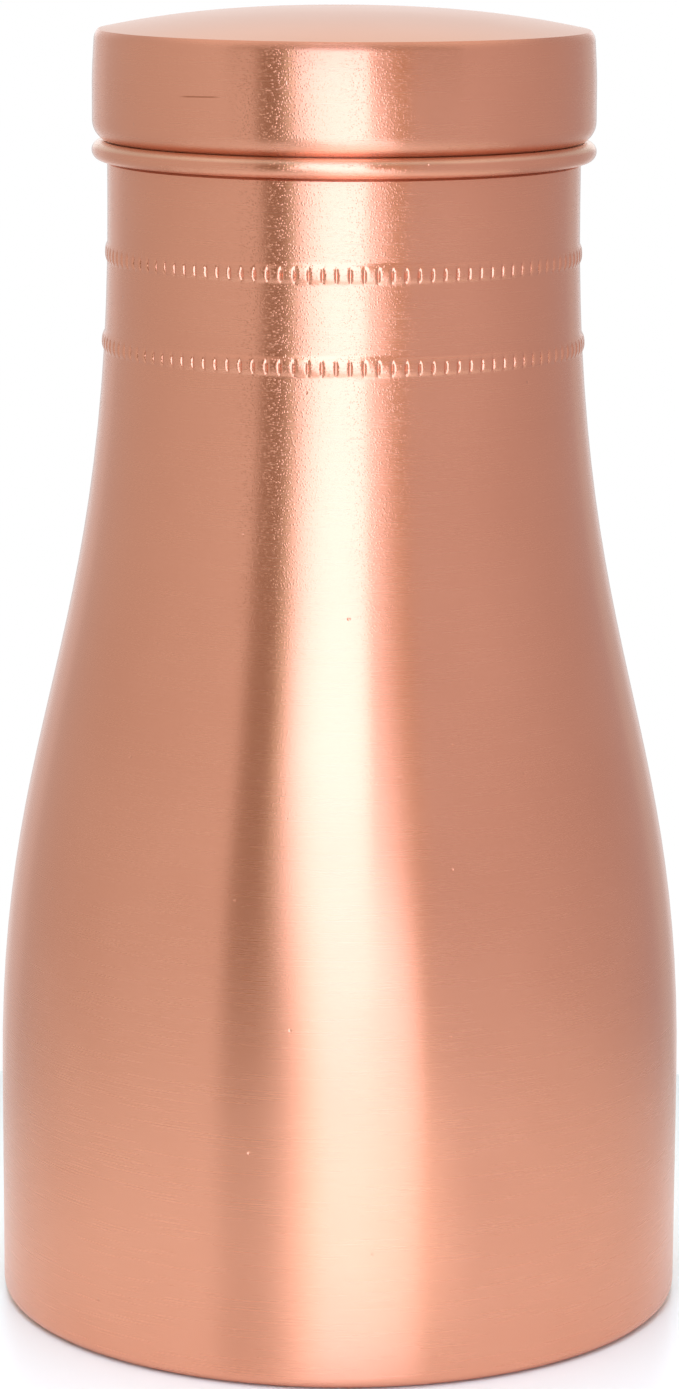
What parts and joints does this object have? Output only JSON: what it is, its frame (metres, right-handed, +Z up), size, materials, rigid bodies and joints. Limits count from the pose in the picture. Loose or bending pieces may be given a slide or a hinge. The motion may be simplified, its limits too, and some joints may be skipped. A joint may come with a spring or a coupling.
{
  "type": "water bottle",
  "caption": "Copper water bottle with a cylindrical body, a shoulder sweeping in to a wide neck, beaded rings, a rolled rim and a lift-off domed plug lid.",
  "frame": {"origin": "centre of the foot, on the surface that the bottle stands on", "axes": "+Z up the bottle's axis, towards the lid; the bottle is round, so +X and +Y are free"},
  "size_m": [0.108, 0.108, 0.2042],
  "materials": {
    "brushed_copper": "satin, fine lines brushed round the bottle",
    "plain_copper": "plain sheet, lightly dulled",
    "wire_copper": "drawn wire"
  },
  "bodies": {
    "bottle": {"body_shell": "brushed_copper", "base_plate": "plain_copper", "rim_wire": "wire_copper"},
    "lid": {"lid_cap": "brushed_copper", "lid_collar": "plain_copper"}
  },
  "joints": [
    {"name": "lid_lift", "type": "slide", "parent": "bottle", "child": "lid", "axis": [0, 0, 1], "range_m": [0, 0.08]}
  ]
}
